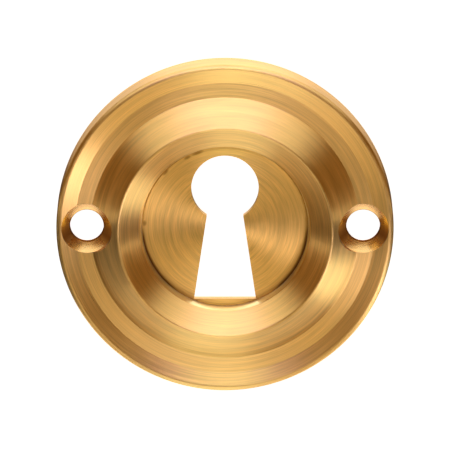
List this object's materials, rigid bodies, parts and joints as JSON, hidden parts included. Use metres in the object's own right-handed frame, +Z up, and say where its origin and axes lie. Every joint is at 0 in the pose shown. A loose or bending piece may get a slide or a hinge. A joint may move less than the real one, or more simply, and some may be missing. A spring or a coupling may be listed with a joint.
{
  "type": "keyhole escutcheon",
  "caption": "Round brass keyhole plate with a stepped rim, a raised ring round a sunk centre, countersunk screw holes and a lever-lock keyhole.",
  "frame": {"origin": "centre of the back plane, on the plate's turning axis", "axes": "+Z up along the keyhole, from its foot to its round; -Y out of the front, towards the person with the key; +Y into the door"},
  "size_m": [0.05, 0.0074, 0.05],
  "materials": {
    "brass": "unlacquered satin brass, turned, with fine brush lines that run round the axis"
  },
  "bodies": {
    "root": {"escutcheon_plate": "brass"}
  },
  "joints": []
}
